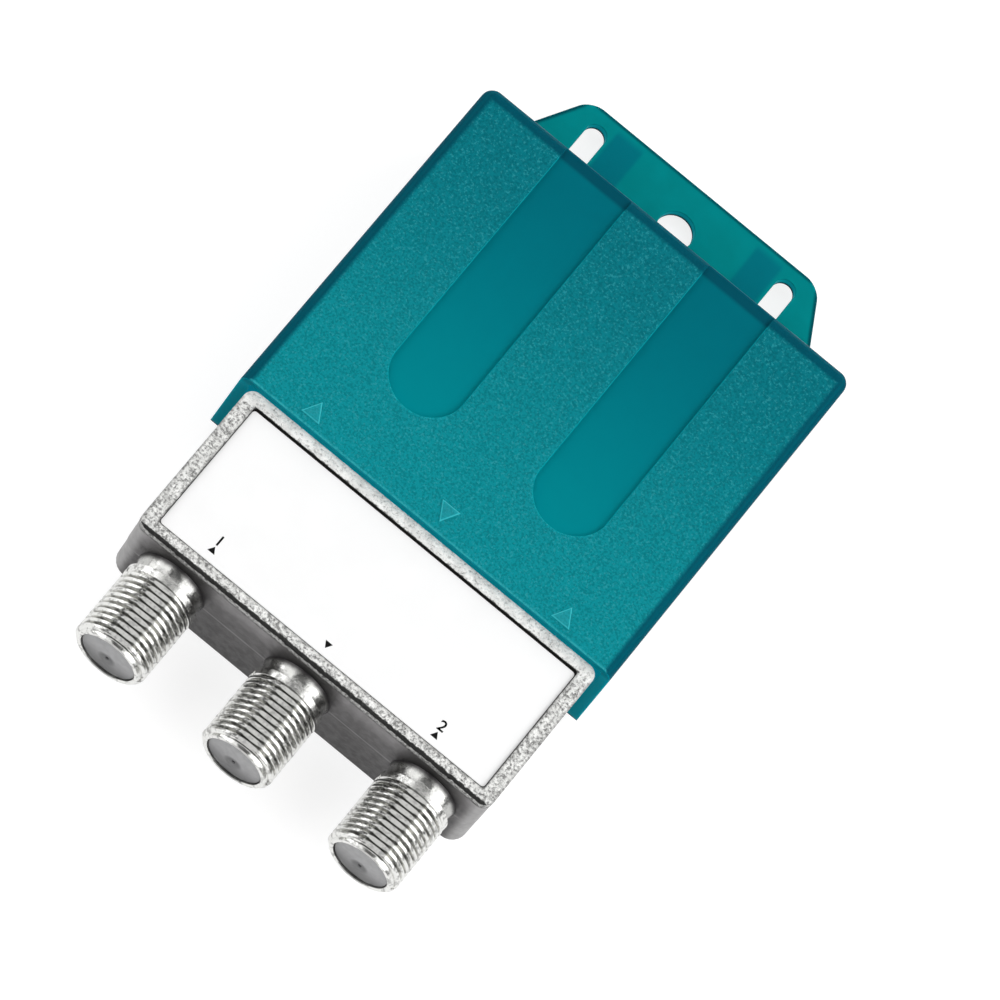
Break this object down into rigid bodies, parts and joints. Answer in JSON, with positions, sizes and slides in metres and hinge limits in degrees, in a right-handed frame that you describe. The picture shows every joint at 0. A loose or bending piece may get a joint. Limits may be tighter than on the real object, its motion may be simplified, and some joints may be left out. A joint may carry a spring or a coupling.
{
  "type": "satellite switch",
  "caption": "Small die-cast satellite switch box with threaded coaxial ports, which slides into a flanged plastic weather cover for a mast or wall.",
  "frame": {"origin": "middle of the base of the overall box, with the object lying on the ribs of its back", "axes": "+Y towards the mounting flange and -Y towards the ports, +Z out of the labelled front, +X across"},
  "size_m": [0.0526, 0.0948, 0.0186],
  "materials": {
    "cover_plastic": "slightly clear moulded polypropylene, finely grained on the front panel",
    "nickel_casting": "nickel-plated zinc casting, rough on the rim and satin elsewhere",
    "label_stock": "white printed film",
    "lid_sheet": "plated sheet steel",
    "insulator_plastic": "turned grey plastic",
    "contact_brass": "plated spring brass",
    "board_laminate": "green solder mask on glass-fibre laminate",
    "solder": "bright solder",
    "package_black": "moulded black packages with tinned leads",
    "choke_ferrite": "ferrite drum with varnished copper wire",
    "can_aluminium": "drawn aluminium can",
    "capacitor_ceramic": "fired ceramic with tinned end caps",
    "resistor_ceramic": "dark glaze with tinned end caps"
  },
  "bodies": {
    "cover": {"weather_shell": "cover_plastic", "back_plate": "cover_plastic"},
    "switch_unit": {"die_cast_housing": "nickel_casting", "face_label": "label_stock", "rear_lid": "lid_sheet", "port_insulator_left": "insulator_plastic", "port_insulator_centre": "insulator_plastic", "port_insulator_right": "insulator_plastic", "centre_contact_left": "contact_brass", "centre_contact_centre": "contact_brass", "centre_contact_right": "contact_brass", "circuit_board": "board_laminate", "solder_joints": "solder", "decoder_chip": "package_black", "voltage_regulator": "package_black", "switching_transistors": "package_black", "pin_diodes": "package_black", "rf_chokes": "choke_ferrite", "electrolytic_capacitor": "can_aluminium", "ceramic_capacitors": "capacitor_ceramic", "chip_resistors": "resistor_ceramic", "ceramic_resonator": "capacitor_ceramic"}
  },
  "joints": [
    {"name": "cover_slide", "type": "slide", "parent": "cover", "child": "switch_unit", "axis": [0, 1, 0], "range_m": [0, 0.046]}
  ]
}
